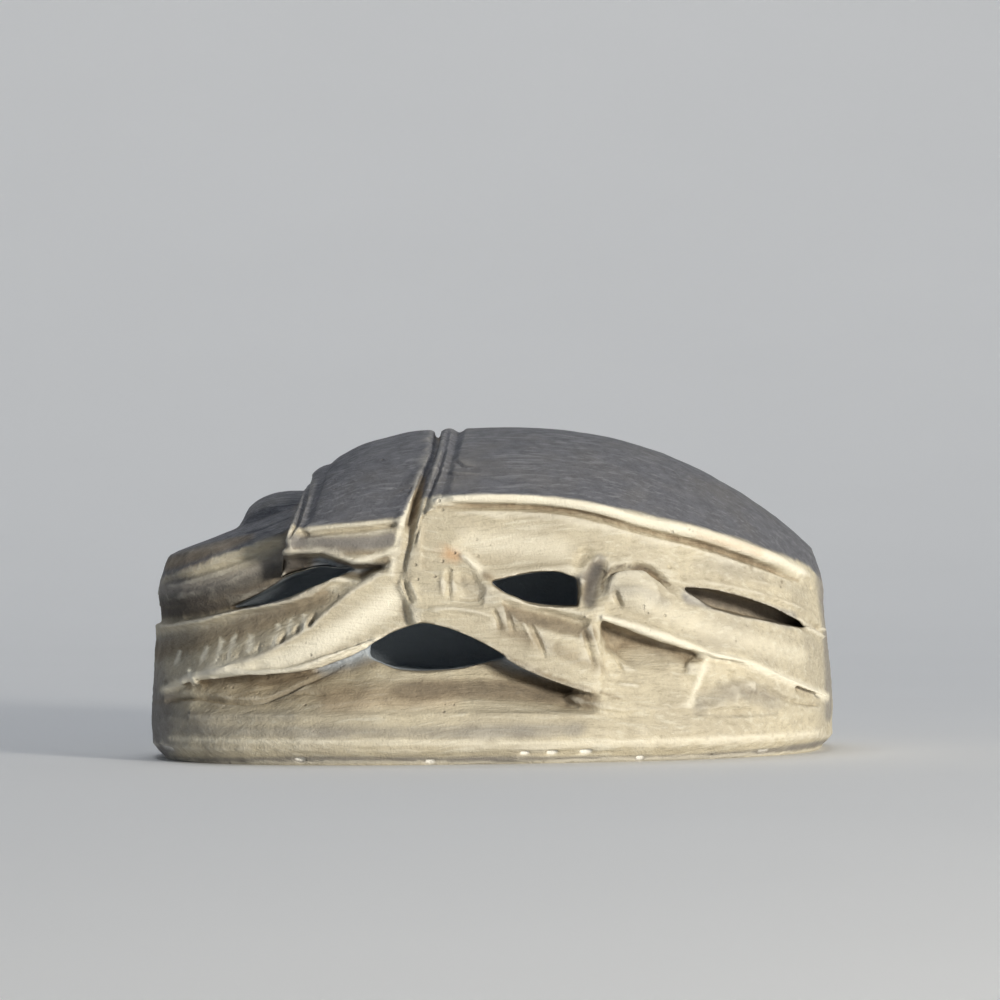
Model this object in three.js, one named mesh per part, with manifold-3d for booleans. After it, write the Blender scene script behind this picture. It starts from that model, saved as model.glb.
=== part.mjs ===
// A scarab amulet, carved from one piece of pale soft stone: a beetle on an oval plate, its legs cut
// free of the body along both sides, pierced from head to tail for a cord.
// Millimetres. The head points to -X, the tail to +X, +Z is up, and the underside lies at z = 0.

import * as THREE from "three";
import { mergeVertices } from "three/addons/utils/BufferGeometryUtils.js";
import Module from "manifold-3d";

const wasm = await Module();
wasm.setup();

// Driving sizes
const LENGTH = 18; // the oval plate, head to tail
const WIDTH = 12.8; // the oval plate, side to side
const HEIGHT = 8.6; // underside to the crown of the back
const PLATE_HEIGHT = 1.2; // upright rim of the plate
const BEVEL_HEIGHT = 0.4; // worn bevel round the plate's lower edge
const BEVEL_WIDTH = 0.35;
const SIDE_LEAN = 0.6; // how far each flank leans in between the plate and the shoulder
const TAIL_LEAN = 0.2; // the same at the tail
const CORE_WIDTH = 4; // stone left standing between the hollows of the two sides
const LEG_THICKNESS = 1.9; // a leg, from its outer face to the hollow behind it
const SLOT_DEPTH = 1.6; // blind slot above each hind leg
const SLOPE_DEPTH = 1.3; // how far the plate's top slopes in under the legs
const LEG_RELIEF = 0.45; // how far the hind leg stands out of the flank below it
const SET_BACK = 0.12; // how far the flanks lie behind the edge of the wing cases
const HEAD_WIDTH = 7.2; // the head where it meets the thorax
const HEAD_LIP = 0.5; // rounding of the head's front edge
const CHEEK_DROP = 0.55; // fall of the head from its middle to its sides
const CREST_WIDTH = 3; // raised middle of the head
const BORE_DIAMETER = 1.8; // hole for the cord
const BORE_HEIGHT = 3.5; // its axis above the underside
const KNEE_WIDTH = 2; // the bent knee of a hind leg
const KNEE_THICKNESS = 0.4;
const LINE_WIDTH = 0.34; // incised lines of the back
const STRIP_WIDTH = 0.36; // raised strip along the front of the thorax
const OVAL_POWER = 2.4; // squareness of the oval plan; 2 would be an ellipse

// Finish of the curves
const SPOKES = 72; // points round the oval
const STATION_SPACING = 0.85; // along a cut in the flank
const BORE_SIDES = 20;
const STONE_COLOUR = 0xcfc5a8;

const halfLength = LENGTH / 2;
const halfWidth = WIDTH / 2;
const rise = HEIGHT - PLATE_HEIGHT;
const outside = halfWidth * 1.2; // a distance from the middle plane that clears the stone
const overlap = LINE_WIDTH / 4; // how far a cut runs into the one beside it

// The carving is laid out in shares: along runs from -1 at the head end to 1 at the tail, and up
// from 0 at the plate's rim to 1 at the crown.
const alongToX = (along) => along * halfLength;
const upToZ = (up) => PLATE_HEIGHT + up * rise;

// A smooth curve through points given as [along, up], as a height over x
function heightCurve(points) {
  const stations = points.map(([along]) => alongToX(along));
  const heights = points.map(([, up]) => upToZ(up));
  const curve = new THREE.CubicInterpolant(stations, heights, 1, new Float32Array(1));
  return (x) => curve.evaluate(x)[0];
}

function smoothStep(value, low, high) {
  return THREE.MathUtils.smoothstep(value, low, high);
}

// Half the width of an oval with the given half axes, at x
function ovalHalfWidth(x, a, b) {
  const share = Math.min(Math.abs(x) / a, 1);
  return b * (1 - share ** OVAL_POWER) ** (1 / OVAL_POWER);
}

// Points round an oval, anticlockwise seen from above, at the height that heightAt gives
function ovalRing(a, b, heightAt) {
  const signedPower = (value) => Math.sign(value) * Math.abs(value) ** (2 / OVAL_POWER);
  return Array.from({ length: SPOKES }, (_, i) => {
    const angle = (i / SPOKES) * 2 * Math.PI;
    const x = a * signedPower(Math.cos(angle));
    const y = b * signedPower(Math.sin(angle));
    return [x, y, heightAt(x, y)];
  });
}

// A closed mesh through a stack of rings with the same number of points, ended by two points.
// The rings run anticlockwise when they are seen from the last one.
function stackedSolid(rings, firstPoint, lastPoint) {
  const count = rings[0].length;
  const positions = [...rings.flat(), firstPoint, lastPoint];
  const first = rings.length * count;
  const last = first + 1;
  const triangles = [];
  for (let i = 0; i < count; i += 1) {
    const next = (i + 1) % count;
    triangles.push([first, next, i]);
    for (let ring = 0; ring < rings.length - 1; ring += 1) {
      const low = ring * count;
      const high = low + count;
      triangles.push([low + i, low + next, high + next], [low + i, high + next, high + i]);
    }
    const top = first - count;
    triangles.push([last, top + i, top + next]);
  }
  const geometry = new THREE.BufferGeometry();
  geometry.setAttribute("position", new THREE.Float32BufferAttribute(positions.flat(), 3));
  geometry.setIndex(triangles.flat());
  return geometry;
}

// The middle of a ring, to close it with
function ringMiddle(ring) {
  return [0, 1, 2].map((axis) => ring.reduce((sum, point) => sum + point[axis], 0) / ring.length);
}

// A geometry with only its corners and faces, each corner once
function bareGeometry(geometry) {
  const bare = geometry.clone();
  bare.deleteAttribute("normal");
  bare.deleteAttribute("uv");
  return mergeVertices(bare, 1e-4);
}

// A three.js geometry as a solid that can be joined and cut
function solidOf(geometry) {
  const bare = bareGeometry(geometry);
  const corners = bare.index.array;
  const triVerts = [];
  for (let i = 0; i < corners.length; i += 3) {
    const [a, b, c] = [corners[i], corners[i + 1], corners[i + 2]];
    if (a !== b && b !== c && c !== a) triVerts.push(a, b, c);
  }
  return new wasm.Manifold(
    new wasm.Mesh({
      numProp: 3,
      vertProperties: Float32Array.from(bare.attributes.position.array),
      triVerts: Uint32Array.from(triVerts),
    }),
  );
}

// The same geometry on the other side of the middle plane, with its faces still pointing out
function mirrored(geometry) {
  const twin = bareGeometry(geometry).scale(1, -1, 1);
  const corners = twin.index.array;
  for (let i = 0; i < corners.length; i += 3) {
    [corners[i], corners[i + 1]] = [corners[i + 1], corners[i]];
  }
  return twin;
}

function onBothSides(geometry) {
  return [solidOf(geometry), solidOf(mirrored(geometry))];
}

// Crown of the back over the middle plane: a long fall to the tail, a rounder one to the head
function crownHeight(x) {
  const crownAt = 0.022;
  const step = x / halfLength - crownAt;
  const drop = step > 0 ? 0.529 * step ** 2.34 : 1.243 * (-step) ** 3.42;
  return Math.max(upToZ(1 - drop), shoulderHeight(x));
}

// The slanting line between thorax and wing cases, as x over height
function borderAt(z) {
  return alongToX(-0.122) - 0.255 * (upToZ(0.975) - z);
}

// Shoulder: the edge where the back meets the flank
function shoulderHeight(x) {
  const along = x / halfLength;
  const wingCase = 0.74 - 0.319 * Math.max(along, 0) ** 1.79;
  const thorax = 0.662 + 0.055 * (along + 0.25);
  const border = borderAt(upToZ(0.7));
  return upToZ(THREE.MathUtils.lerp(thorax, wingCase, smoothStep(x, border - LINE_WIDTH, border + overlap)));
}

// Where the shoulder runs in plan
const shoulderLength = halfLength - TAIL_LEAN;
const shoulderWidth = halfWidth - SIDE_LEAN;

function backHeight(x, y) {
  const crown = crownHeight(x);
  const edge = ovalHalfWidth(x, shoulderLength, shoulderWidth);
  const across = edge > 0 ? Math.min(Math.abs(y) / edge, 1) : 1;
  const roundness = 2.2;
  return crown - (crown - shoulderHeight(x)) * across ** roundness;
}

// Half axes of the oval at a share of the way up the flank, 0 at the rim and 1 at the shoulder
const lean = (share) => [halfLength - TAIL_LEAN * share, halfWidth - SIDE_LEAN * share];

// Half the width of the stone at x and z
function flankAt(x, z) {
  const share = (z - PLATE_HEIGHT) / (shoulderHeight(x) - PLATE_HEIGHT);
  return ovalHalfWidth(x, ...lean(THREE.MathUtils.clamp(share, 0, 1)));
}

// The uncut stone: plate, flanks and back in one
function makeBlock() {
  const flankShares = [0.35, 0.7];
  const backShares = [0.97, 0.92, 0.85, 0.76, 0.65, 0.52, 0.38, 0.24, 0.12];
  const rings = [
    ovalRing(halfLength - BEVEL_WIDTH, halfWidth - BEVEL_WIDTH, () => 0),
    ovalRing(halfLength, halfWidth, () => BEVEL_HEIGHT),
    ovalRing(halfLength, halfWidth, () => PLATE_HEIGHT),
    ...flankShares.map((share) =>
      ovalRing(...lean(share), (x) => THREE.MathUtils.lerp(PLATE_HEIGHT, shoulderHeight(x), share)),
    ),
    ovalRing(...lean(1), shoulderHeight),
    ...backShares.map((share) =>
      ovalRing(shoulderLength * share, shoulderWidth * share, backHeight),
    ),
  ];
  return solidOf(stackedSolid(rings, [0, 0, 0], [0, 0, crownHeight(0)]));
}

// The leaning front face of the thorax, as x over height
const thoraxFront = (z) => alongToX(-0.512) - 0.306 * (upToZ(0.88) - z);

// Everything in front of the thorax and above the front legs, seen from the side
function makeFrontCut() {
  const outline = new THREE.Shape();
  outline.moveTo(-LENGTH, upToZ(0.31));
  outline.lineTo(alongToX(-0.93), upToZ(0.318));
  outline.lineTo(alongToX(-0.6), upToZ(0.4));
  outline.lineTo(thoraxFront(upToZ(0.57)), upToZ(0.57));
  outline.lineTo(thoraxFront(upToZ(0.88)), upToZ(0.88));
  outline.lineTo(thoraxFront(upToZ(0.88)), 2 * HEIGHT);
  outline.lineTo(-LENGTH, 2 * HEIGHT);
  const geometry = new THREE.ExtrudeGeometry(outline, { depth: 2 * outside, bevelEnabled: false });
  geometry.rotateX(Math.PI / 2);
  geometry.translate(0, outside, 0);
  return solidOf(geometry);
}

// Top of the head without its crest: a slope down to the front edge of the shield
function headTop(x) {
  const front = alongToX(-0.98);
  const slope = 0.36;
  const straight = upToZ(0.583) + slope * (Math.min(x, alongToX(-0.56)) - alongToX(-0.895));
  const inward = THREE.MathUtils.clamp((x - front) / HEAD_LIP, 0, 1);
  return straight - 0.7 * HEAD_LIP * (1 - Math.sqrt(1 - (1 - inward) ** 2));
}

function makeHead() {
  const middle = alongToX(-0.5);
  const reach = middle - alongToX(-0.98);
  const half = HEAD_WIDTH / 2;
  const cheekHeight = (x) => headTop(x + middle) - CHEEK_DROP;
  const side = (share) => (x, y) => {
    const across = Math.min(Math.abs(y) / half, 1);
    return THREE.MathUtils.lerp(headTop(x + middle), cheekHeight(x), share * across ** 3);
  };
  const rings = [
    ovalRing(reach * 0.98, half * 0.86, () => upToZ(0.25)),
    ovalRing(reach, half, () => upToZ(0.42)),
    ovalRing(reach, half, cheekHeight),
    ...[0.93, 0.82, 0.66, 0.45, 0.22].map((share) => ovalRing(reach * share, half * share, side(1))),
  ];
  const head = stackedSolid(rings, ringMiddle(rings[0]), [0, 0, headTop(middle)]);
  head.translate(middle, 0, 0);
  return solidOf(head);
}

// The raised middle of the head, a low hump with a blunt back
function makeCrest() {
  const back = alongToX(-0.585);
  const front = alongToX(-0.735);
  const middle = back;
  const stations = 7;
  const rings = Array.from({ length: stations }, (_, i) => {
    const share = i / (stations - 1);
    const x = THREE.MathUtils.lerp(front, middle, share);
    const top = upToZ(0.655) + (upToZ(0.785) - upToZ(0.655)) * Math.sqrt(1 - (1 - share) ** 2);
    const half = (CREST_WIDTH / 2) * (0.75 + 0.25 * share);
    return archSection(x, half, upToZ(0.5), top);
  });
  rings.push(archSection(alongToX(-0.5), CREST_WIDTH / 2, upToZ(0.5), upToZ(0.775)));
  return solidOf(stackedSolid(rings, ringMiddle(rings[0]), ringMiddle(rings.at(-1))));
}

// A section across the body: upright sides under a flat arch
function archSection(x, half, foot, top) {
  const sides = 8;
  const shoulder = THREE.MathUtils.lerp(foot, top, 0.75);
  const arch = Array.from({ length: sides + 1 }, (_, i) => {
    const angle = (i / sides) * Math.PI;
    return [x, half * Math.cos(angle), shoulder + (top - shoulder) * Math.sin(angle)];
  });
  return [[x, half, foot], ...arch, [x, -half, foot]];
}

// A cut into each flank between two height curves. depthLow and depthHigh say how far it goes in
// at its lower and its upper edge, lift moves its upper inner edge, start leaves stone outside it,
// and fadeIn and fadeOut are the shares over which its ends run out.
function sideCut({
  from, to, low, high, depthLow, depthHigh, lift = 0, start = null, fadeIn = 0, fadeOut = 0,
}) {
  const thinnest = overlap / 3;
  const core = CORE_WIDTH / 2;
  const [first, last] = [alongToX(from), alongToX(to)];
  const steps = Math.max(5, Math.round((last - first) / STATION_SPACING));
  const fade = (x) => Math.min(
    fadeIn ? Math.sqrt((x - first) / (fadeIn * halfLength)) : 1,
    fadeOut ? Math.sqrt((last - x) / (fadeOut * halfLength)) : 1,
    1,
  );
  const rings = Array.from({ length: steps + 1 }, (_, i) => {
    const x = THREE.MathUtils.lerp(first, last, i / steps);
    const bottom = low(x);
    const top = Math.max(high(x), bottom + thinnest);
    const reach = (depth, z) => {
      const flank = flankAt(x, z);
      return Math.max(flank - depth * fade(x) - thinnest, Math.min(core, 0.6 * flank));
    };
    const mouth = start === null ? outside : Math.max(flankAt(x, bottom) - start, 1.15 * core);
    return [
      [x, -mouth, top],
      [x, -mouth, bottom],
      [x, -reach(depthLow, bottom), bottom],
      [x, -reach(depthHigh, top), Math.max(top + lift, bottom + thinnest)],
    ];
  });
  return onBothSides(stackedSolid(rings, ringMiddle(rings[0]), ringMiddle(rings.at(-1))));
}

const headUnderside = heightCurve([
  [-0.95, 0.32],
  [-0.8, 0.39],
  [-0.69, 0.44],
  [-0.56, 0.523],
  [-0.5, 0.543],
  [-0.43, 0.535],
  [-0.35, 0.516],
  [-0.29, 0.505],
]);
const frontLegTop = heightCurve([
  [-0.95, 0.315],
  [-0.745, 0.368],
  [-0.605, 0.4],
  [-0.533, 0.426],
  [-0.49, 0.455],
  [-0.4, 0.5],
  [-0.29, 0.505],
]);
const legUndersides = heightCurve([
  [-0.85, 0.123],
  [-0.71, 0.147],
  [-0.536, 0.158],
  [-0.38, 0.216],
  [-0.215, 0.313],
  [-0.17, 0.313],
  [-0.03, 0.245],
  [0.04, 0.195],
  [0.205, 0.101],
  [0.36, 0.046],
]);
const overLegUndersides = (x) => legUndersides(x) + overlap;
const plateRim = () => PLATE_HEIGHT;
const plateSlope = heightCurve([
  [-0.5, 0.2],
  [-0.35, 0.203],
  [-0.286, 0.166],
  [-0.168, 0.151],
  [-0.028, 0.177],
  [0.04, 0.197],
  [0.25, 0.3],
]);
const flankEdge = heightCurve([
  [-0.005, 0.462],
  [0.06, 0.476],
  [0.145, 0.492],
  [0.223, 0.484],
  [0.25, 0.465],
]);
const middleLegTop = heightCurve([
  [-0.005, 0.458],
  [0.045, 0.415],
  [0.115, 0.38],
  [0.19, 0.371],
  [0.25, 0.37],
]);
const slotTop = heightCurve([
  [0.54, 0.435],
  [0.655, 0.412],
  [0.771, 0.37],
  [0.891, 0.299],
  [0.97, 0.262],
]);
const rearLegTop = heightCurve([
  [0.54, 0.425],
  [0.596, 0.376],
  [0.654, 0.343],
  [0.741, 0.319],
  [0.86, 0.287],
  [0.97, 0.25],
]);
const rearLegUnderside = heightCurve([
  [0.31, 0.331],
  [0.452, 0.26],
  [0.609, 0.196],
  [0.739, 0.157],
  [0.858, 0.092],
  [0.981, 0.023],
]);
const hollowRoof = heightCurve([
  [-0.68, 0.4],
  [-0.5, 0.47],
  [-0.3, 0.47],
  [0, 0.46],
  [0.25, 0.47],
]);
const hollowFloor = heightCurve([
  [-0.68, 0.36],
  [-0.5, 0.22],
  [-0.3, 0.165],
  [-0.168, 0.151],
  [0.04, 0.18],
  [0.25, 0.33],
]);

// The flank above the legs is set back a little, so the wing cases stand out over it
const flankFoot = heightCurve([
  [-0.23, 0.53],
  [-0.1, 0.47],
  [0, 0.462],
  [0.06, 0.476],
  [0.223, 0.484],
  [0.3, 0.48],
  [0.345, 0.505],
  [0.43, 0.49],
  [0.54, 0.432],
  [0.655, 0.409],
  [0.771, 0.367],
  [0.891, 0.299],
  [0.97, 0.262],
]);

// Everything that is cut away between the legs, on both sides
function makeSideCuts() {
  const openings = { depthLow: WIDTH, depthHigh: WIDTH };
  const underTheEdge = (x) => shoulderHeight(x) - SET_BACK;
  return [
    sideCut({
      ...openings, from: -0.93, to: -0.3, low: frontLegTop, high: headUnderside,
      lift: -0.04 * rise,
    }),
    sideCut({ ...openings, from: -0.345, to: 0.04, low: plateSlope, high: overLegUndersides }),
    sideCut({ ...openings, from: 0, to: 0.25, low: middleLegTop, high: flankEdge }),
    sideCut({
      ...openings, from: -0.66, to: 0.245, low: hollowFloor, high: hollowRoof, start: LEG_THICKNESS,
    }),
    sideCut({
      from: 0.545, to: 0.965, low: rearLegTop, high: slotTop,
      depthLow: SLOT_DEPTH, depthHigh: SLOT_DEPTH,
    }),
    sideCut({
      from: -0.955, to: 0.355, low: plateRim, high: legUndersides,
      depthLow: SET_BACK, depthHigh: SLOPE_DEPTH, fadeIn: 0.39,
    }),
    sideCut({
      from: 0.312, to: 0.975, low: plateRim, high: rearLegUnderside,
      depthLow: SET_BACK / 2, depthHigh: LEG_RELIEF, fadeOut: 0.22,
    }),
    sideCut({
      from: -0.19, to: 0.955, low: (x) => flankFoot(x) - overlap, high: underTheEdge,
      depthLow: SET_BACK, depthHigh: SET_BACK, fadeOut: 0.11,
    }),
    sideCut({
      from: -0.56, to: -0.235, low: (x) => headUnderside(x) - overlap, high: underTheEdge,
      depthLow: SET_BACK, depthHigh: SET_BACK,
    }),
  ].flat();
}

// The bent knee of each hind leg, a flat knob that stands out of the flank
function makeKnees() {
  const knob = new THREE.SphereGeometry(1, 14, 8);
  const [x, z] = [alongToX(0.382), upToZ(0.42)];
  knob.scale(KNEE_WIDTH / 2, KNEE_THICKNESS, KNEE_WIDTH * 0.36);
  knob.rotateY(0.45);
  knob.translate(x, -(flankAt(x, z) - KNEE_THICKNESS / 2), z);
  return onBothSides(knob);
}

// The hole for the cord, from head to tail
function makeBore() {
  const radius = BORE_DIAMETER / 2;
  const bore = new THREE.CylinderGeometry(radius, radius, 2 * LENGTH, BORE_SIDES);
  bore.rotateZ(Math.PI / 2);
  bore.translate(0, 0, BORE_HEIGHT);
  return solidOf(bore);
}

// An incised line: a narrow lozenge swept along points that lie on the surface
function incisedLine(points, steps) {
  const half = LINE_WIDTH / 2;
  const section = new THREE.Shape();
  section.moveTo(half, 0);
  section.lineTo(0, half);
  section.lineTo(-half, 0);
  section.lineTo(0, -half);
  const path = new THREE.CatmullRomCurve3(points.map((point) => new THREE.Vector3(...point)));
  return new THREE.ExtrudeGeometry(section, { extrudePath: path, steps, bevelEnabled: false });
}

// Points over the back from one flank to the other, along a line that is x over height
function acrossTheBack(xOfHeight, lowest) {
  const points = [];
  const samples = 8;
  for (let i = -samples; i <= samples; i += 1) {
    const share = i / samples;
    let x = xOfHeight(HEIGHT);
    let z = HEIGHT;
    let y = 0;
    for (let pass = 0; pass < 6; pass += 1) {
      x = xOfHeight(z);
      y = share * ovalHalfWidth(x, shoulderLength, shoulderWidth);
      z = backHeight(x, y);
    }
    points.push([x, y, z]);
  }
  if (lowest === undefined) return points;
  const foot = (sign) => {
    const x = xOfHeight(lowest);
    return [x, sign * flankAt(x, lowest), lowest];
  };
  return [foot(-1), ...points, foot(1)];
}

// Points along the near shoulder
function alongTheShoulder(from, to, below) {
  const samples = 8;
  return Array.from({ length: samples + 1 }, (_, i) => {
    const x = alongToX(THREE.MathUtils.lerp(from, to, i / samples));
    return [x, -ovalHalfWidth(x, shoulderLength, shoulderWidth), shoulderHeight(x) - below];
  });
}

function makeLines() {
  const gap = LINE_WIDTH * 0.85;
  const borderFoot = upToZ(0.45);
  const border = (offset) => (z) => borderAt(z) + offset;
  const frontStrip = (z) => thoraxFront(z) + STRIP_WIDTH;
  const suture = Array.from({ length: 9 }, (_, i) => {
    const x = alongToX(THREE.MathUtils.lerp(-0.115, 0.955, i / 8));
    return [x, 0, crownHeight(x)];
  });
  return [
    solidOf(incisedLine(acrossTheBack(border(-gap), borderFoot), 18)),
    solidOf(incisedLine(acrossTheBack(border(gap)), 14)),
    solidOf(incisedLine(acrossTheBack(frontStrip, upToZ(0.6)), 16)),
    solidOf(incisedLine(suture, 12)),
    ...onBothSides(incisedLine(alongTheShoulder(-0.16, 0.9, overlap), 14)),
    ...onBothSides(incisedLine(alongTheShoulder(-0.54, -0.27, 0), 6)),
  ];
}

// A solid back into a three.js mesh
function meshOf(solid, name, material) {
  const { vertProperties, triVerts, numProp } = solid.getMesh();
  const positions = new Float32Array((vertProperties.length / numProp) * 3);
  for (let i = 0; i < positions.length / 3; i += 1) {
    for (let axis = 0; axis < 3; axis += 1) {
      positions[i * 3 + axis] = vertProperties[i * numProp + axis];
    }
  }
  const geometry = new THREE.BufferGeometry();
  geometry.setAttribute("position", new THREE.BufferAttribute(positions, 3));
  geometry.setIndex(Array.from(triVerts));
  geometry.computeVertexNormals();
  const mesh = new THREE.Mesh(geometry, material);
  mesh.name = name;
  return mesh;
}

function makeScarab() {
  const uncut = makeBlock().subtract(makeFrontCut()).add(makeHead()).add(makeCrest());
  const hollowed = makeSideCuts().reduce((stone, cut) => stone.subtract(cut), uncut);
  const kneed = makeKnees().reduce((stone, knee) => stone.add(knee), hollowed);
  const carved = [makeBore(), ...makeLines()].reduce((stone, cut) => stone.subtract(cut), kneed);
  const stone = new THREE.MeshStandardMaterial({
    name: "pale_stone",
    color: STONE_COLOUR,
    roughness: 0.8,
    metalness: 0,
  });
  return meshOf(carved, "scarab", stone);
}

const amulet = new THREE.Group();
amulet.name = "scarab_amulet";
amulet.add(makeScarab());

export default amulet;
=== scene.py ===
"""A carved pale stone scarab amulet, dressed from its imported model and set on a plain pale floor."""

import math

import bpy
import numpy as np
from mathutils import Euler, Matrix, Vector
from mathutils.bvhtree import BVHTree


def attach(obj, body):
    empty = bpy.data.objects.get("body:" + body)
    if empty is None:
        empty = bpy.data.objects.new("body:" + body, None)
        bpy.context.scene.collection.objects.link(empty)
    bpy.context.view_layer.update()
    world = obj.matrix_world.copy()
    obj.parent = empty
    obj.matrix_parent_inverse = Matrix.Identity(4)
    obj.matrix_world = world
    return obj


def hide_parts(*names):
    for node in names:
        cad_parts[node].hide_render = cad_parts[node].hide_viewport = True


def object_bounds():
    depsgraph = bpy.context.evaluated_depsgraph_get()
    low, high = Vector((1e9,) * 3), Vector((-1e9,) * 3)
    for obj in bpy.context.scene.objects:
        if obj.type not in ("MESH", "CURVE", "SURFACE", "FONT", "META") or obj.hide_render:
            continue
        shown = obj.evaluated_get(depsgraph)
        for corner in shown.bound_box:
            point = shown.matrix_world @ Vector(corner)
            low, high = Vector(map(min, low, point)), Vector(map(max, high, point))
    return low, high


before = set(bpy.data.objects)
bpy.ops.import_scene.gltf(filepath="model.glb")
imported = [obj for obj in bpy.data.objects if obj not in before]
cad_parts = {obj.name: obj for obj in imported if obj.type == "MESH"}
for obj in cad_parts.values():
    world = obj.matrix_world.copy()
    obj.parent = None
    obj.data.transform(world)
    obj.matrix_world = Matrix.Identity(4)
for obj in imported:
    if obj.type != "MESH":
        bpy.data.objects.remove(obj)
cad_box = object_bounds()

# The stone is worked in millimetres, in the same frame as the model, and brought back to metres at the end.
MM = 0.001
HALF_LENGTH, HALF_WIDTH, OVAL_POWER = 9.0, 6.4, 2.4  # the plate's oval
BEVEL_HEIGHT, BEVEL_WIDTH = 0.4, 0.35  # along its lower edge
PLATE_TOP, PLATE_END, PLATE_RIM = 1.35, 7.8, 0.955  # how far up, lengthwise and inwards its wall is trued
BORDER_LENGTH, BORDER_WIDTH = 7.9, 5.3  # half the oval of the line round the underside
SEEN_DEPTH, SIDE_MARK_DEPTH = 1.3, 2.6  # how far in from the oval the side is cut, and is stained and painted with shade and highlights
NEAR, FAR = -1, 1  # the two sides, across the stone
BOTH_SIDES = (NEAR, FAR)
GRAIN_STEP = 0.05  # the size of a mesh square while the stone is worked
FACET_SMOOTHING, EDGE_SMOOTHING = 110, 7  # rounds of smoothing, on broad faces and along edges
FACE_LIMIT = 190000
RAYS, SIGHT = 15, 3.0  # rays sent out from each point, and how far off a wall still shuts it in

# Every number in the tables, but for a turn in degrees, is in hundredths: of a millimetre, or of the whole for a
# share or a strength. A point seen from the side is (along, up).

# Strokes of carving on the side: half width, depth, which is negative for a ridge, the shares of the length that it
# takes to start and to run out, and path.
SIDE_STROKES = [
    # head
    (11, 7, 20, 20, [(-867, 464), (-816, 472), (-746, 491), (-639, 523), (-559, 561), (-518, 581)]),
    (13, 9, 20, 10, [(-643, 587), (-580, 605), (-514, 632)]),
    (10, 5, 30, 30, [(-861, 440), (-774, 452), (-679, 478), (-591, 518)]),
    (16, 12, 30, 30, [(-531, 581), (-523, 558), (-505, 540)]),
    # thorax
    (10, 12, 10, 10, [(-489, 583), (-404, 592), (-315, 599), (-236, 608)]),
    (14, 14, 30, 30, [(-367, 496), (-316, 503), (-265, 515), (-232, 529)]),
    # border of the wing cases
    (16, 17, 45, 25, [(-161, 746), (-185, 670), (-203, 595), (-217, 519), (-225, 484)]),
    (9, 6, 10, 40, [(-106, 821), (-123, 758), (-149, 690), (-173, 620), (-194, 557)]),
    # wing case and flank
    (13, 22, 8, 10, [(-129, 652), (-23, 651), (78, 647), (179, 638), (281, 616), (382, 586), (535, 546),
      (639, 511), (745, 472), (800, 447)]),
    (12, 7, 20, 50, [(-87, 770), (-62, 755), (-11, 741)]),
    (8, -4, 30, 40, [(-108, 740), (-67, 735), (-6, 734)]),
    (9, -7, 30, 40, [(453, 557), (510, 546), (577, 535), (645, 516)]),
    (10, -6, 30, 40, [(633, 460), (697, 445), (778, 425)]),
    (26, 13, 30, 30, [(213, 488), (236, 518), (259, 548)]),
    (10, -4, 30, 30, [(258, 482), (272, 517), (280, 547)]),
    # elbow
    (10, 12, 20, 30, [(-223, 474), (-213, 438), (-198, 400)]),
    (10, -7, 20, 30, [(-203, 468), (-190, 438), (-178, 410)]),
    (9, 10, 20, 30, [(-106, 500), (-104, 454), (-105, 409)]),
    (9, -5, 20, 30, [(-121, 498), (-122, 455), (-120, 417)]),
    (12, -9, 20, 20, [(-168, 387), (-102, 394), (-39, 385), (9, 372)]),
    (12, -9, 30, 30, [(-83, 532), (-55, 517), (-25, 486)]),
    (22, 8, 30, 30, [(-81, 487), (-64, 446), (-46, 416)]),
    # middle leg
    (8, 10, 20, 30, [(6, 395), (19, 364), (26, 334)]),
    (8, 9, 20, 30, [(37, 407), (49, 364), (61, 323)]),
    (8, 12, 20, 30, [(92, 373), (114, 327), (127, 297), (139, 261)]),
    (8, 11, 20, 30, [(229, 356), (246, 297), (265, 239)]),
    (8, 10, 20, 30, [(294, 319), (316, 268), (339, 217)]),
    (8, -6, 20, 30, [(247, 361), (261, 310), (278, 254)]),
    (7, -5, 20, 30, [(77, 368), (97, 323), (111, 287)]),
    (12, -8, 30, 40, [(308, 197), (346, 194), (389, 186)]),
    # knee, and the crest of the front leg
    (42, 24, 30, 30, [(272, 396), (263, 436), (279, 482), (299, 512)]),
    (17, 24, 15, 30, [(283, 431), (289, 466), (312, 489), (348, 496), (393, 490), (426, 469), (457, 443),
      (495, 412)]),
    (16, -8, 10, 20, [(-263, 487), (-350, 437), (-407, 392), (-477, 337), (-584, 278), (-682, 245), (-761, 223)]),
    (12, 14, 20, 30, [(314, 435), (323, 410), (333, 384)]),
    # hind leg, slot and tail
    (9, 9, 30, 10, [(656, 198), (714, 170), (768, 142), (878, 119)]),
    (12, -7, 20, 20, [(493, 458), (586, 443), (691, 417), (785, 383), (842, 352)]),
    (7, -16, 30, 10, [(793, 350), (833, 332), (875, 311)]),
    (7, -14, 30, 10, [(798, 326), (832, 311), (868, 293)]),
    (65, -14, 30, 30, [(561, 176), (621, 169), (682, 156)]),
    (12, 16, 30, 30, [(504, 117), (581, 109), (673, 106), (767, 111)]),
    # front leg and the wall below it
    (35, 10, 20, 30, [(-819, 291), (-722, 311), (-628, 339), (-523, 375), (-445, 420)]),
    (12, 12, 15, 30, [(-883, 156), (-765, 169), (-676, 160), (-596, 161), (-526, 182), (-456, 212), (-404, 237),
      (-363, 267)]),
    (9, 7, 30, 30, [(-518, 174), (-474, 182), (-410, 174)]),
    (14, -10, 30, 30, [(-777, 225), (-756, 210), (-737, 190)]),
]

# The proud line along the front leg, and a line far outside for a face that goes in evenly.
FRONT_CREST = [(-258, 492), (-350, 440), (-407, 394), (-477, 339), (-584, 281), (-682, 247), (-750, 228), (-856, 196),
    (-906, 177)]
NO_CREST = [(-1046, -377), (-1044, -390)]

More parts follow.
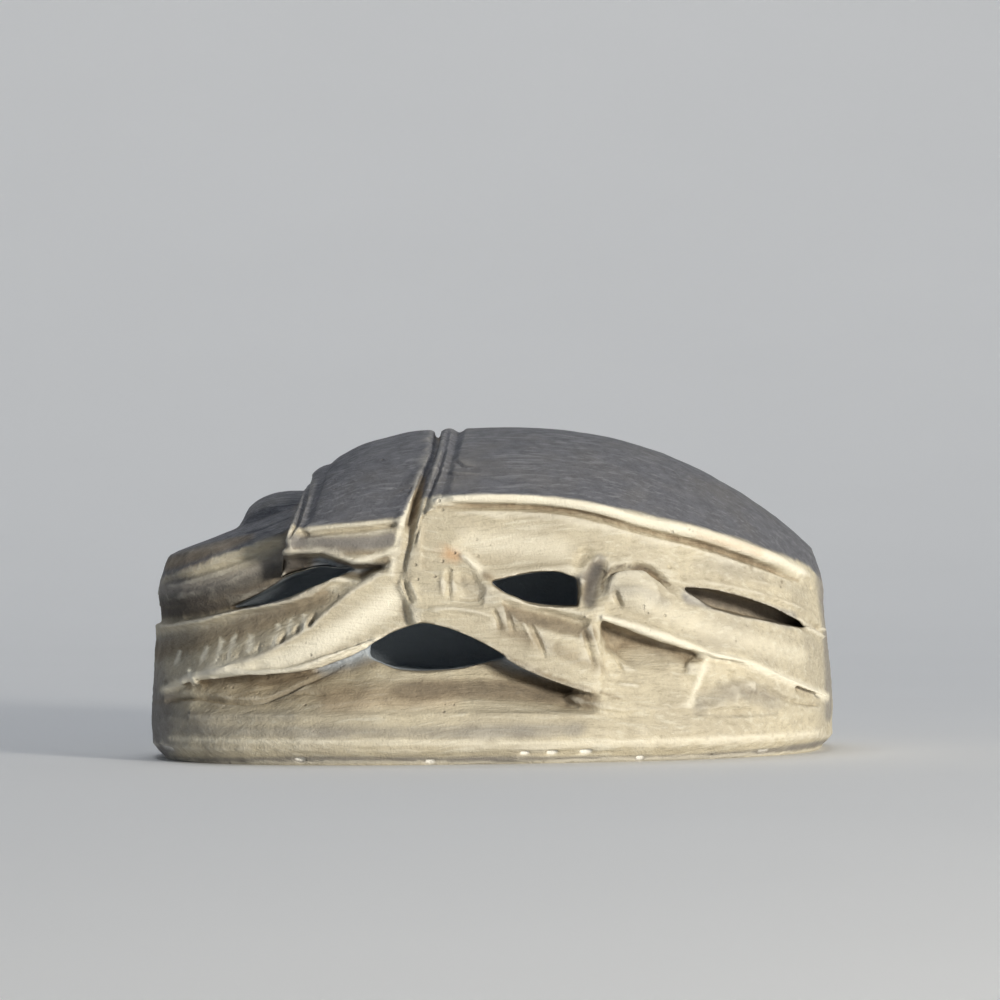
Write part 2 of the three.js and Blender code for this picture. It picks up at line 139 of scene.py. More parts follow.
# Broad faces of the legs, pushed in from a crest that stays proud: outline, crest, depth and the distance over
# which the depth is reached.
SIDE_FACES = [
    ([(-909, 326), (-847, 344), (-748, 359), (-640, 391), (-583, 396), (-510, 408), (-450, 425), (-399, 458),
      (-355, 475)] + FRONT_CREST,
     FRONT_CREST, 42, 100),
    (FRONT_CREST[:6] + [(-717, 224), (-643, 212), (-564, 212), (-492, 222), (-419, 247), (-353, 272),
      (-281, 294), (-197, 342), (-216, 423)],
     FRONT_CREST, 30, 110),
    ([(37, 407), (75, 401), (138, 388), (206, 371), (246, 358), (221, 316), (137, 332), (62, 364)],
     [(62, 358), (137, 327), (220, 310)], 30, 60),
    ([(279, 350), (378, 318), (480, 280), (547, 248), (505, 228), (402, 231), (339, 248), (291, 289)],
     [(290, 178), (402, 226), (544, 243)], 34, 90),
    ([(-86, 502), (-40, 481), (-16, 440), (-26, 405), (-87, 411)],
     [(-96, 492), (-97, 411)], 14, 50),
    ([(-555, 530), (-482, 532), (-431, 532), (-393, 519), (-349, 503), (-278, 502), (-329, 475), (-406, 486),
      (-483, 466), (-556, 446)],
     NO_CREST, 85, 100),
    ([(-861, 409), (-747, 416), (-639, 457), (-581, 503), (-526, 520), (-527, 456), (-640, 411), (-748, 377),
      (-862, 362)],
     [(-878, 419), (-862, 352)], 62, 160),
    ([(-23, 618), (179, 610), (381, 548), (279, 522), (216, 508), (76, 495), (-12, 496), (-87, 555)],
     [(-149, 640), (179, 627), (382, 574)], 10, 100),
]

# Raised edges: how far their middle stands out of the surface, and (along, up, radius) at each point.
SIDE_BEADS = [
    (10, [(-139, 670, 7), (-22, 676, 13), (79, 672, 15), (180, 663, 16), (281, 641, 18), (382, 612, 19),
      (536, 576, 19), (640, 541, 18), (746, 501, 15), (812, 465, 5)]),
    (17, [(277, 368, 9), (328, 354, 14), (378, 338, 15), (480, 300, 15), (552, 270, 10), (635, 250, 7),
      (693, 230, 6), (755, 199, 6), (810, 173, 6), (875, 143, 5)]),
    (19, [(-856, 188, 6), (-811, 206, 9), (-772, 225, 12), (-717, 239, 10), (-643, 237, 9), (-564, 238, 8),
      (-491, 248, 8), (-419, 273, 7), (-352, 298, 6), (-286, 320, 4)]),
    (8, [(-189, 703, 4), (-215, 651, 9), (-236, 583, 11), (-250, 519, 9), (-253, 489, 4)]),
    (3, [(-481, 601, 5), (-404, 608, 7), (-315, 614, 7), (-231, 623, 5)]),
    (6, [(-354, 511, 4), (-314, 523, 8), (-273, 535, 8), (-237, 547, 4)]),
    (11, [(236, 366, 8), (265, 383, 15), (293, 393, 10)]),
    (7, [(549, 248, 5), (531, 207, 9), (509, 160, 8), (496, 127, 4)]),
    (5, [(-88, 535, 5), (-60, 522, 9), (-30, 491, 6)]),
]

# Places where a hollow of the solid runs out softly: (along, in from the side, up), the size of the fill and its
# turn in degrees.
SOFT_FILLS = [
    ((284, 95, 142), (105, 85, 30), 12),
    ((640, 60, 189), (180, 36, 68), 15),
]

# Marks on the side, by kind: half width, strength and path. Some are stains and some are painted shade and painted
# highlights, as noted for each kind.
SIDE_STAINS_AND_PAINTED_LIGHT = {
    # The grey kind: partly a grey film, partly painted shade and a painted reflection, as at the left end, the lower
    # edge and the right end.
    "grey": [
        (170, 98, [(-917, 177), (-903, 32)]),
        (45, 55, [(-866, 127), (-697, 119), (-514, 126)]),
        (20, 85, [(-908, 0), (-490, 14), (19, 10), (528, 6), (883, 22)]),
        (50, 85, [(-861, 445), (-747, 457), (-639, 483), (-534, 528)]),
        (42, 100, [(508, 417), (637, 388), (771, 348)]),
        (30, 40, [(384, 739), (537, 660)]),
        (50, 60, [(-880, 301), (-748, 329), (-628, 365), (-536, 395)]),
        (40, 62, [(-836, 88), (-489, 85), (-107, 83), (222, 83)]),
        (42, 95, [(-513, 568), (-367, 559), (-247, 570)]),
        (40, 40, [(-178, 443), (-51, 454), (-1, 415)]),
        (40, 55, [(303, 436), (380, 429), (443, 395)]),
        (120, 44, [(377, 270), (584, 303), (797, 269)]),
        (60, 40, [(535, 503), (692, 466), (800, 424)]),
        (35, 80, [(865, 460), (885, 289), (881, 93)]),
        (60, 58, [(530, 146), (621, 174), (727, 139)]),
        (35, 80, [(215, 457), (253, 474), (279, 512)]),
    ],
    # The earth kind: partly earth, partly painted shade in grooves, round the cheek hollow and on the front leg's
    # upper face.
    "earth_and_shade": [
        (55, 90, [(-880, 282), (-749, 313), (-628, 350), (-510, 395), (-432, 430)]),
        (62, 70, [(-710, 165), (-410, 186), (-232, 180)]),
        (50, 105, [(-232, 185), (-130, 189), (21, 187), (173, 170), (249, 156)]),
        (34, 80, [(-845, 511), (-787, 529), (-705, 555), (-624, 587)]),
        (45, 105, [(-878, 392), (-707, 411), (-587, 447), (-483, 492), (-393, 496)]),
        (14, 70, [(-367, 490), (-240, 519)]),
        (22, 90, [(-526, 507), (-457, 507), (-393, 501), (-316, 492)]),
        (10, 80, [(283, 431), (289, 466), (312, 489), (348, 496), (393, 490), (426, 469), (462, 438)]),
        (10, 75, [(-129, 652), (78, 647), (281, 616), (535, 546), (800, 447)]),
        (12, 80, [(292, 345), (378, 313), (480, 275), (547, 248)]),
        (12, 85, [(-199, 337), (-128, 346), (23, 276), (173, 210), (325, 162)]),
        (16, 65, [(-883, 151), (-751, 164), (-597, 156), (-456, 207), (-363, 262)]),
        (30, 80, [(-521, 540), (-405, 542), (-265, 530)]),
        (38, 85, [(237, 422), (253, 462), (271, 497)]),
        (20, 90, [(-30, 491), (0, 471)]),
        (40, 95, [(37, 384), (138, 357), (251, 325)]),
        (40, 70, [(23, 344), (124, 307), (275, 239)]),
        (40, 45, [(543, 177), (634, 174), (714, 152)]),
        (25, 40, [(302, 309), (403, 269), (505, 244)]),
        (25, 38, [(28, 637), (179, 625), (382, 586)]),
        (20, 38, [(179, 584), (292, 550)]),
    ],
    "tan": [
        (26, 115, [(-108, 535), (-88, 527)]),
        (20, 50, [(536, 571), (692, 522)]),
        (22, 55, [(-807, 508), (-732, 534)]),
        (50, 30, [(-410, 166), (-105, 176)]),
    ],
    # The pale kind: painted highlights on beads, ridges, the front leg's bright lower face and small nicks.
    "pale": [
        (17, 100, [(-856, 185), (-772, 220), (-717, 236), (-643, 235), (-491, 245), (-419, 270), (-286, 317)]),
        (17, 100, [(277, 368), (378, 335), (480, 298), (552, 268), (635, 248), (755, 197), (875, 141)]),
        (20, 100, [(-139, 672), (79, 672), (281, 641), (382, 612), (536, 576), (640, 541), (746, 501),
          (812, 468)]),
        (11, 90, [(-184, 708), (-210, 651), (-231, 583), (-245, 519), (-251, 484)]),
        (7, 50, [(-481, 598), (-404, 605), (-315, 611), (-231, 620)]),
        (11, 100, [(-354, 511), (-314, 523), (-273, 535), (-237, 547)]),
        (12, 90, [(549, 253), (531, 207), (504, 140)]),
        (20, 80, [(-88, 538), (-55, 522), (-25, 489)]),
        (46, 110, [(-709, 231), (-616, 242), (-486, 281), (-370, 343), (-249, 418)]),
        (6, 100, [(-339, 518), (-275, 532)]),
        (5, 90, [(-438, 542), (-418, 554)]),
        (5, 90, [(-375, 513), (-359, 523)]),
        (45, 50, [(-49, 567), (178, 544)]),
        (35, 40, [(379, 409), (533, 342), (797, 256)]),
        (10, 70, [(-837, 62), (-234, 59), (273, 51), (852, 53)]),
    ],
    # The dark kind: painted shade in the cheek hollow, under the thorax, beside the knee and along the slot and tail
    # lines.
    "dark": [
        (36, 85, [(-875, 382), (-747, 398), (-640, 424), (-522, 459)]),
        (42, 90, [(-868, 411), (-747, 426), (-639, 457), (-560, 490), (-482, 515)]),
        (34, 85, [(-614, 421), (-509, 477), (-431, 506), (-367, 501)]),
        (18, 70, [(-508, 507), (-380, 511), (-258, 504)]),
        (110, 42, [(-918, 45), (-865, 185), (-876, 301)]),
        (50, 42, [(-232, 190), (21, 187), (211, 164)]),
        (30, 38, [(37, 379), (137, 352), (251, 325)]),
        (36, 92, [(252, 406), (258, 447), (271, 487)]),
        (16, 55, [(278, 466), (304, 486), (350, 493), (401, 485)]),
        (34, 42, [(-845, 480), (-746, 480), (-639, 508), (-534, 543)]),
        (12, 25, [(508, 437), (638, 414), (771, 368)]),
        (40, 30, [(-508, 561), (-367, 554), (-247, 565)]),
        (16, 32, [(603, 210), (629, 184), (647, 155)]),
        (14, 35, [(666, 172), (727, 144)]),
        (9, 40, [(509, 116), (581, 109), (673, 106), (735, 110)]),
        (8, 35, [(656, 198), (768, 144), (872, 120)]),
        (35, 35, [(-692, 152), (-591, 161), (-487, 192), (-384, 247)]),
    ],
}

# Short toothed marks on the upper side of the front leg.
LEG_TEETH = [
    [(-655, 329), (-669, 273)], [(-610, 329), (-616, 288)], [(-539, 355), (-553, 306)],
    [(-466, 392), (-477, 344)], [(-730, 298), (-741, 267)], [(-777, 240), (-767, 194)],
    [(-689, 319), (-703, 267)], [(-805, 286), (-816, 255)], [(-505, 370), (-513, 334)],
]

# Edges worn rounder than the rest: (along, up, radius).
SOFT_SPOTS = [
    (281, 284, 55), (280, 195, 50), (220, 437, 35), (841, 339, 50), (-25, 479, 40), (-508, 517, 50),
    (688, 228, 50), (531, 266, 40),
]

# Small pits: (along, up, radius).
SIDE_PITS = [
    (457, 491, 8), (671, 487, 9), (591, 461, 8), (617, 218, 10), (616, 174, 10), (597, 157, 8), (-829, 37, 10),
    (834, 428, 10),
]

# Lines that run over the back from one side to the other, as seen from the side, with half width and depth.
BACK_LINES = [
    ([(-134, 847), (-134, 827), (-145, 786), (-163, 747), (-188, 671), (-206, 607)], 11, 13),
    ([(-105, 847), (-108, 826), (-117, 785), (-127, 746), (-150, 690), (-173, 620), (-194, 557)], 8, 6),
    ([(-477, 743), (-472, 727), (-475, 680), (-490, 619), (-508, 581)], 9, 14),
]

# Fresh chips along the plate's lower edge: (along, up, length, depth).
RIM_CHIPS = [
    (-490, 14, 35, 12), (82, 29, 30, 10), (151, 28, 35, 12), (237, 27, 40, 12), (-852, 29, 50, 20),
    (-158, 7, 30, 8), (374, 8, 25, 8), (698, 12, 40, 10),
]


# ------------ small helpers

def put_in_scene(thing):
    bpy.context.scene.collection.objects.link(thing)
    return thing


def pick_only(piece):
    """Leaves one piece selected and active."""
    bpy.ops.object.select_all(action="DESELECT")
    piece.select_set(True)
    bpy.context.view_layer.objects.active = piece


def finish_with(piece, kind, **settings):
    """Adds one modifier and applies it."""
    pick_only(piece)
    modifier = piece.modifiers.new(kind.lower(), kind)
    for name, value in settings.items():
        setattr(modifier, name, value)
    bpy.ops.object.modifier_apply(modifier=modifier.name)


def on_whole_mesh(step, threshold):
    """Runs one step of mesh editing on every point of the active piece."""
    bpy.ops.object.mode_set(mode="EDIT")
    bpy.ops.mesh.select_all(action="SELECT")
    step(threshold=threshold)
    bpy.ops.object.mode_set(mode="OBJECT")


def read_rows(source, name, width, kind=np.float64):
    """One table of a mesh, such as its points, with a row for each item."""
    flat = np.empty(len(source) * width, dtype=kind)
    source.foreach_get(name, flat)
    return flat.reshape(-1, width)


def points_of(mesh):
    return read_rows(mesh.vertices, "co", 3)


def normals_of(mesh):
    return read_rows(mesh.vertex_normals, "vector", 3)


def move_points(mesh, points):
    mesh.vertices.foreach_set("co", np.ascontiguousarray(points, dtype=np.float64).ravel())
    mesh.update()


def edges_of(mesh):
    return read_rows(mesh.edges, "vertices", 2, np.int64)


def drawn(numbers):
    """Numbers from a table, brought from hundredths to millimetres and shares."""
    return np.asarray(numbers, float) / 100


def soft_step(value, low, high):
    share = np.clip((value - low) / (high - low), 0, 1)
    return share * share * (3 - 2 * share)


def spread(edges, values, times):
    """Evens out a value over neighbouring points."""
    count = np.maximum(np.bincount(edges.ravel(), minlength=len(values)), 1)
    for _ in range(times):
        total = np.bincount(edges[:, 0], values[edges[:, 1]], len(values))
        total += np.bincount(edges[:, 1], values[edges[:, 0]], len(values))
        values = 0.5 * values + 0.5 * total / count
    return values


def spread_each(edges, rows, times):
    """Evens out each column of a table of points or directions."""
    return np.stack([spread(edges, rows[:, axis], times) for axis in range(3)], axis=1)


def rolling(points, size, seed):
    """A soft random roll over space, from 0 to 1, with humps of the given size."""
    place = points / np.asarray(size, float) + seed * 17.31
    cell = np.floor(place)
    share = place - cell
    share = share * share * (3 - 2 * share)
    total = np.zeros(len(points))
    for corner in range(8):
        step = np.array([corner & 1, corner >> 1 & 1, corner >> 2 & 1])
        at = cell + step
        value = np.sin(at @ np.array([127.1, 311.7, 74.7]) + seed * 3.7) * 43758.5453
        weight = np.prod(np.where(step == 1, share, 1 - share), axis=1)
        total += weight * (value - np.floor(value))
    return total


def plate_width(along):
    """Half the width of the plate's oval at a place along it."""
    share = np.clip(np.abs(along) / HALF_LENGTH, 0, 1)
    return HALF_WIDTH * (1 - share ** OVAL_POWER) ** (1 / OVAL_POWER)


def across_oval(points, length, width):
    """How far out a point is in an oval of these half sizes, from 0 in its middle to 1 on its line."""
    return ((np.abs(points[:, 0]) / length) ** OVAL_POWER
            + (np.abs(points[:, 1]) / width) ** OVAL_POWER) ** (1 / OVAL_POWER)


def bvh_of(mesh, points):
    return BVHTree.FromPolygons([Vector(p) for p in points], [tuple(f.vertices) for f in mesh.polygons])


# ------------ roughing out

def rough_out(node, name):
    """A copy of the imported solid, in millimetres, with its points joined."""
    piece = put_in_scene(bpy.data.objects.new(name, node.data.copy()))
    piece.data.transform(Matrix.Scale(1 / MM, 4))
    pick_only(piece)
    on_whole_mesh(bpy.ops.mesh.remove_doubles, 0.001)
    return piece


def bead_along(path, radii):
    """A round tapering rod along a path, closed at its ends."""
    curve = bpy.data.curves.new("bead", "CURVE")
    curve.dimensions = "3D"
    curve.bevel_depth = 1.0
    curve.bevel_resolution = 3
    curve.use_fill_caps = True
    line = curve.splines.new("POLY")
    line.points.add(len(path) - 1)
    for point, place, radius in zip(line.points, path, radii):
        point.co = (*place, 1)
        point.radius = radius
    pick_only(put_in_scene(bpy.data.objects.new("bead", curve)))
    bpy.ops.object.convert(target="MESH")
    return bpy.context.object


def join_to(piece, others):
    pick_only(piece)
    for other in others:
        other.select_set(True)
    bpy.context.view_layer.objects.active = piece
    bpy.ops.object.join()


def add_edges_and_fills(piece):
    """Beads along the raised edges, and soft fills where a hollow runs out, grown into the stone by its new skin."""
    rng = np.random.default_rng(11)
    surface = Carver(piece)
    added = []
    shake = 0.03  # how far the far side's beads stray from the near side's
    for stand_out, path in SIDE_BEADS:
        for side in BOTH_SIDES:
            here = drawn(path)
            if side == FAR:
                here = here + rng.normal(0, shake, here.shape) * [1, 1, 0.2]
            full = smooth_path(here, 5)
            laid = surface.lay_on_side(full[:, :2], side, 1)
            if laid is None:
                continue
            radii = np.maximum(full[:, 2] * (1 + 0.12 * (rolling(laid, 0.35, 5) - 0.5)), 0.01)
            laid[:, 1] -= side * (radii - drawn(stand_out))
            added.append(bead_along(laid, radii))
    for place, size, turn in SOFT_FILLS:
        along, inward, up = drawn(place)
        for side in BOTH_SIDES:
            centre = (along, side * (plate_width(along) - inward), up)
            heading = math.atan(side * (plate_width(along + 0.1) - plate_width(along - 0.1)) / 0.2)
            bpy.ops.mesh.primitive_uv_sphere_add(segments=24, ring_count=14, radius=1)
            fill = bpy.context.object
            fill.data.transform(Matrix.LocRotScale(centre, Euler((0, math.radians(turn), heading)), drawn(size)))
            added.append(fill)
    join_to(piece, added)


def work_away_facets(piece):
    """Broad faces take a heavy smoothing, while edges and cut lines keep a light one."""
    start = points_of(piece.data)
    finish_with(piece, "SMOOTH", factor=0.5, iterations=EDGE_SMOOTHING)
    crisp = points_of(piece.data)
    finish_with(piece, "SMOOTH", factor=0.5, iterations=FACET_SMOOTHING)
    even = points_of(piece.data)
    edges = edges_of(piece.data)
    gap = np.linalg.norm(even - crisp, axis=1)
    flat, sharp = 0.014, 0.04  # how far smoothing moves a point on a broad face, and on an edge
    keep = soft_step(spread(edges, gap, 10), flat, sharp)
    for along, up, radius in drawn(SOFT_SPOTS):
        gap = np.hypot(start[:, 0] - along, start[:, 2] - up)
        keep *= soft_step(gap, 0.5 * radius, radius)
    keep = spread(edges, keep, 12)[:, None]
    points = crisp * keep + even * (1 - keep)
    points[start[:, 2] < 0.02, 2] = 0
    move_points(piece.data, points)


# ------------ carving

def distance_to_path(points, path):
    """For each point, how far it is from a path and how far along it, as a share of its length."""
    steps = np.diff(path, axis=0)
    lengths = np.linalg.norm(steps, axis=1)
    ends = np.concatenate([[0], np.cumsum(lengths)])
    near = np.full(len(points), 1e9)
    share = np.zeros(len(points))
    for start, step, length, before in zip(path[:-1], steps, lengths, ends[:-1]):
        if length == 0:
            continue
        along = np.clip(((points - start) @ step) / length ** 2, 0, 1)
        gap = np.linalg.norm(points - (start + along[:, None] * step), axis=1)
        closer = gap < near
        near[closer] = gap[closer]
        share[closer] = (before + along[closer] * length) / ends[-1]
    return near, share


def smooth_path(path, parts=6):
    """A path with rounder turns, through the same points."""
    if len(path) < 3:
        return path
    padded = np.vstack([2 * path[0] - path[1], path, 2 * path[-1] - path[-2]])
    made = []
    for a, b, c, d in zip(padded[:-3], padded[1:-2], padded[2:-1], padded[3:]):
        for t in np.arange(parts) / parts:
            made.append(0.5 * (2 * b + (c - a) * t + (2 * a - 5 * b + 4 * c - d) * t * t
                               + (3 * b - a - 3 * c + d) * t ** 3))
    made.append(path[-1])
    return np.array(made)


def run_out(share, start, end):
    """Fades a stroke in and out over shares of its length."""
    fade = np.ones(len(share))
    if start > 0:
        fade *= soft_step(share, -0.02, start)
    if end > 0:
        fade *= soft_step(1 - share, -0.02, end)
    return fade


class Carver:
    """Moves the points of the stone along its own surface directions, stroke by stroke."""

    def __init__(self, piece):
        self.mesh = piece.data
        self.points = points_of(self.mesh)
        self.edges = edges_of(self.mesh)
        evened = spread_each(self.edges, normals_of(self.mesh), 10)
        self.normals = evened / np.maximum(np.linalg.norm(evened, axis=1), 1e-9)[:, None]
        self.chips = np.zeros(len(self.points))
        self.feel = bvh_of(self.mesh, self.points)

    def on_side(self, along, up, side):
        """Where a point seen from one side lies on the stone."""
        outside = 20
        hit = self.feel.ray_cast(Vector((along, side * outside, up)), Vector((0, -side, 0)))[0]
        return None if hit is None else np.array(hit)

    def lay_on_side(self, path, side, parts=6):
        """A side path brought onto the surface. Points that fall into a hollow keep to the depth of the others."""
        found = [(p, self.on_side(p[0], p[1], side)) for p in (smooth_path(path, parts) if parts > 1 else path)]
        depths = [abs(hit[1]) for _, hit in found if hit is not None]
        if not depths:
            return None
        laid = []
        for (along, up), hit in found:
            depth = abs(hit[1]) if hit is not None else np.median(depths)
            laid.append((along, depth, up))
        laid = np.array(laid)
        middle = np.array([np.median(laid[max(0, i - 3):i + 4, 1]) for i in range(len(laid))])
        jump = 0.25  # a step that only the edge of a hollow makes
        laid[:, 1] = side * np.where(np.abs(laid[:, 1] - middle) > jump, middle, laid[:, 1])
        return laid

    def stroke(self, path, half_width, depth, start, end, sharp=False):
        """Cuts a groove along a path, or raises a ridge where the depth is negative."""
        low, high = path.min(0) - half_width, path.max(0) + half_width
        near = np.flatnonzero(np.all((self.points > low) & (self.points < high), axis=1))
        if not len(near):
            return
        gap, share = distance_to_path(self.points[near], path)
        across = np.clip(1 - gap / half_width, 0, 1)
        shape = across ** 1.2 if sharp else across * across * (3 - 2 * across)
        push = depth * shape * run_out(share, start, end)
        self.points[near] -= self.normals[near] * push[:, None]

    def side_stroke(self, path, half_width, depth, start, end, side):
        laid = self.lay_on_side(path, side)
        if laid is not None:
            self.stroke(laid, half_width, depth, start, end)

    def side_face(self, outline, crest, depth, reach, side):
        """Pushes a broad face in, more with the distance from its crest."""
        crest = smooth_path(crest)
        soft = 0.12  # half the width of its soft rim
        low, high = outline.min(0) - 0.2, outline.max(0) + 0.2
        seen = self.points[:, [0, 2]]
        inward = plate_width(self.points[:, 0]) - side * self.points[:, 1]
        near = np.flatnonzero(np.all((seen > low) & (seen < high), axis=1) & (inward < SEEN_DEPTH))
        seen = seen[near]
        inside = np.zeros(len(near), bool)
        for a, b in zip(outline, np.roll(outline, -1, axis=0)):
            crosses = (a[1] > seen[:, 1]) != (b[1] > seen[:, 1])
            rise = b[1] - a[1] if b[1] != a[1] else 1e-9
            inside ^= crosses & (seen[:, 0] < (b[0] - a[0]) * (seen[:, 1] - a[1]) / rise + a[0])
        rim = distance_to_path(seen, np.vstack([outline, outline[:1]]))[0]
        weight = soft_step(np.where(inside, rim, -rim), -soft, soft)
        weight *= np.clip(distance_to_path(seen, crest)[0] / reach, 0, 1)
        weight *= soft_step(SEEN_DEPTH - inward[near], 0, 0.3)
        self.points[near, 1] -= side * depth * weight

    def back_line(self, path, half_width, depth):
        """A line seen from the side that runs right over the back."""
        lowest = path[:, 1].min()
        gap = distance_to_path(self.points[:, [0, 2]], path)[0]
        across = np.clip(1 - gap / half_width, 0, 1)
        outer = soft_step(self.normals[:, 2] + 0.9 * np.abs(self.normals[:, 1]), 0.2, 0.5)
        above = soft_step(self.points[:, 2], lowest - 0.1, lowest + 0.1)
        push = depth * across * across * (3 - 2 * across) * outer * above
        self.points -= self.normals * push[:, None]

    def done(self):
        move_points(self.mesh, self.points)
        keep_mark(self.mesh, "chipped", spread(self.edges, self.chips, 1))


def mirrored_path(path, rng):
    """The same stroke for the far side, drawn again, so it isn't an exact mirror."""
    shake = 0.05
    return path + rng.normal(0, shake, path.shape) * 0.6 + rng.normal(0, shake, 2)


def carve(piece):
    rng = np.random.default_rng(7)
    carver = Carver(piece)
    for outline, crest, *sizes in SIDE_FACES:
        for side in BOTH_SIDES:
            carver.side_face(drawn(outline), drawn(crest), *drawn(sizes), side)
    for *sizes, path in SIDE_STROKES:
        (half_width, depth, start, end), path = drawn(sizes), drawn(path)
        carver.side_stroke(path, half_width, depth, start, end, NEAR)
        carver.side_stroke(mirrored_path(path, rng), half_width, depth * 0.9, start, end, FAR)
    for ridge in drawn(LEG_TEETH):
        groove = ridge + [0.15, 0.0]
        for side in BOTH_SIDES:
            shift = 0 if side == NEAR else rng.normal(0, 0.04, 2)
            carver.side_stroke(ridge + shift, 0.10, -0.13, 0.12, 0.3, side)
            carver.side_stroke(groove + shift, 0.12, 0.20, 0.12, 0.3, side)
    for path, *sizes in BACK_LINES:
        carver.back_line(drawn(path), *drawn(sizes))
    for along, up, radius in drawn(SIDE_PITS):
        centre = carver.on_side(along, up, NEAR)
        if centre is not None:
            carver.stroke(np.array([centre, centre + [0.01, 0, 0]]), radius, radius * 0.9, 0, 0)
    true_the_plate(carver, rng)
    carve_underside(carver)
    hand_worked(carver)
    carver.done()


def true_the_plate(carver, rng):
    """The plate's wall and its bevel meet in a crisp worn edge, with lengthwise file bands and chips along it."""
    points = carver.points
    low = points[:, 2] < PLATE_TOP
    inset = BEVEL_WIDTH * np.clip(1 - points[:, 2] / BEVEL_HEIGHT, 0, 1)
    inset += 0.03 * (rolling(points, (3.0, 3.0, 0.10), 2) - 0.35) * soft_step(points[:, 2], 0.0, 0.08)
    inset += 0.03 * rolling(points, (0.7, 0.7, 0.4), 4)
    inset += 0.16 * soft_step(points[:, 2], 0.7, PLATE_TOP) * soft_step(PLATE_END - np.abs(points[:, 0]), 0, 1.6)
    reach = across_oval(points, HALF_LENGTH - inset, HALF_WIDTH - inset)
    outer = low & (reach > PLATE_RIM) & ((points[:, 2] < 1.0) | (np.abs(points[:, 0]) < PLATE_END))
    hold = soft_step(PLATE_TOP - points[:, 2], 0, 0.15) * soft_step(reach, PLATE_RIM, 0.97)
    hold *= soft_step(carver.normals[:, 2], -0.95, -0.8)
    scale = 1 + (1 / np.maximum(reach, 1e-6) - 1) * hold
    points[outer, :2] *= scale[outer, None]
    for along, up, length, depth in drawn(RIM_CHIPS):
        for side in BOTH_SIDES:
            at = along if side == NEAR else -along + rng.normal(0, 0.8)
            edge = np.array([[at - length / 2, up], [at, up - 0.02], [at + length / 2, up + 0.01]])
            path = np.column_stack([edge[:, 0], side * (plate_width(edge[:, 0]) - 0.02 - inset.min()), edge[:, 1]])
            path[:, 1] -= side * BEVEL_WIDTH * np.clip(1 - path[:, 2] / BEVEL_HEIGHT, 0, 1)
            before = points.copy()
            carver.stroke(path, max(0.09, length * 0.3), depth, 0.3, 0.3, sharp=True)
            carver.chips = np.maximum(carver.chips, np.linalg.norm(points - before, axis=1) / depth)


def carve_underside(carver):
    """A border line round the flat underside, and three rows of shallow strokes inside it."""
    points, normals = carver.points, carver.normals
    under = (points[:, 2] < 0.05) & (normals[:, 2] < -0.7)
    border_depth, border_reach, stroke_depth, stroke_reach = 0.12, 0.16, 0.10, 0.13
    spacing, half_stroke, slant = 0.9, 0.7, 0.12
    gap = np.abs(across_oval(points, BORDER_LENGTH, BORDER_WIDTH) - 1) * 6.0
    points[under, 2] += border_depth * np.clip(1 - gap[under] / border_reach, 0, 1)
    rng = np.random.default_rng(21)
    for across, half_row in ((-2.6, 5.4), (0.0, 6.3), (2.6, 5.4)):
        for at in np.arange(-half_row, half_row + 0.1, spacing):
            lean, longer = rng.normal(0, 0.025, 2) + (slant, 0)
            path = np.array([[at + lean, across - half_stroke, 0], [at - lean, across + half_stroke + longer, 0]])
            gap, share = distance_to_path(points[under], path)
            points[under, 2] += stroke_depth * np.clip(1 - gap / stroke_reach, 0, 1) * run_out(share, 0.2, 0.2)


def hand_worked(carver):
    """The slight unevenness that hand work leaves: soft humps everywhere and lengthwise file marks."""
    points, normals = carver.points, carver.normals
    free = soft_step(points[:, 2], 0.02, 0.12)
    humps = rolling(points, 1.1, 1) + 0.5 * rolling(points, 0.45, 2) + 0.25 * rolling(points, 0.2, 3) - 0.875
    marks = rolling(points, (2.2, 0.16, 0.16), 6) + 0.6 * rolling(points, (1.2, 0.08, 0.08), 7) - 0.8
    back = soft_step(points[:, 2] - shoulder_height(points[:, 0]), -0.1, 0.3)
    lump_along, lump_up = 6.1, 1.85  # the lump in front of the tail is rougher than the rest
    lump = np.exp(-(((points[:, 0] - lump_along) / 1.3) ** 2 + ((points[:, 2] - lump_up) / 0.5) ** 2))
    rough = 0.24 * lump * (rolling(points, 0.34, 9) + 0.4 * rolling(points, 0.16, 10) - 0.8)
    rough += 0.055 * humps * (1 - 0.6 * back) + 0.022 * marks * (1 - 0.4 * back)
    points += normals * (rough * free)[:, None]


# ------------ finishing the stone

def fit_to_model(piece):
    """The carved stone fills the model's box and no more."""
    low, high = (np.array(corner) / MM for corner in cad_box)
    points = np.clip(points_of(piece.data), low, high)
    own_low, own_high = points.min(0), points.max(0)
    points = low + (points - own_low) * (high - low) / (own_high - own_low)
    move_points(piece.data, points)


def thin_out(piece):
    """Fewer faces where the stone is smooth, with none left that has no area."""
    finish_with(piece, "DECIMATE", ratio=min(1.0, FACE_LIMIT / (2 * len(piece.data.polygons))))
    on_whole_mesh(bpy.ops.mesh.dissolve_degenerate, 0.0002)


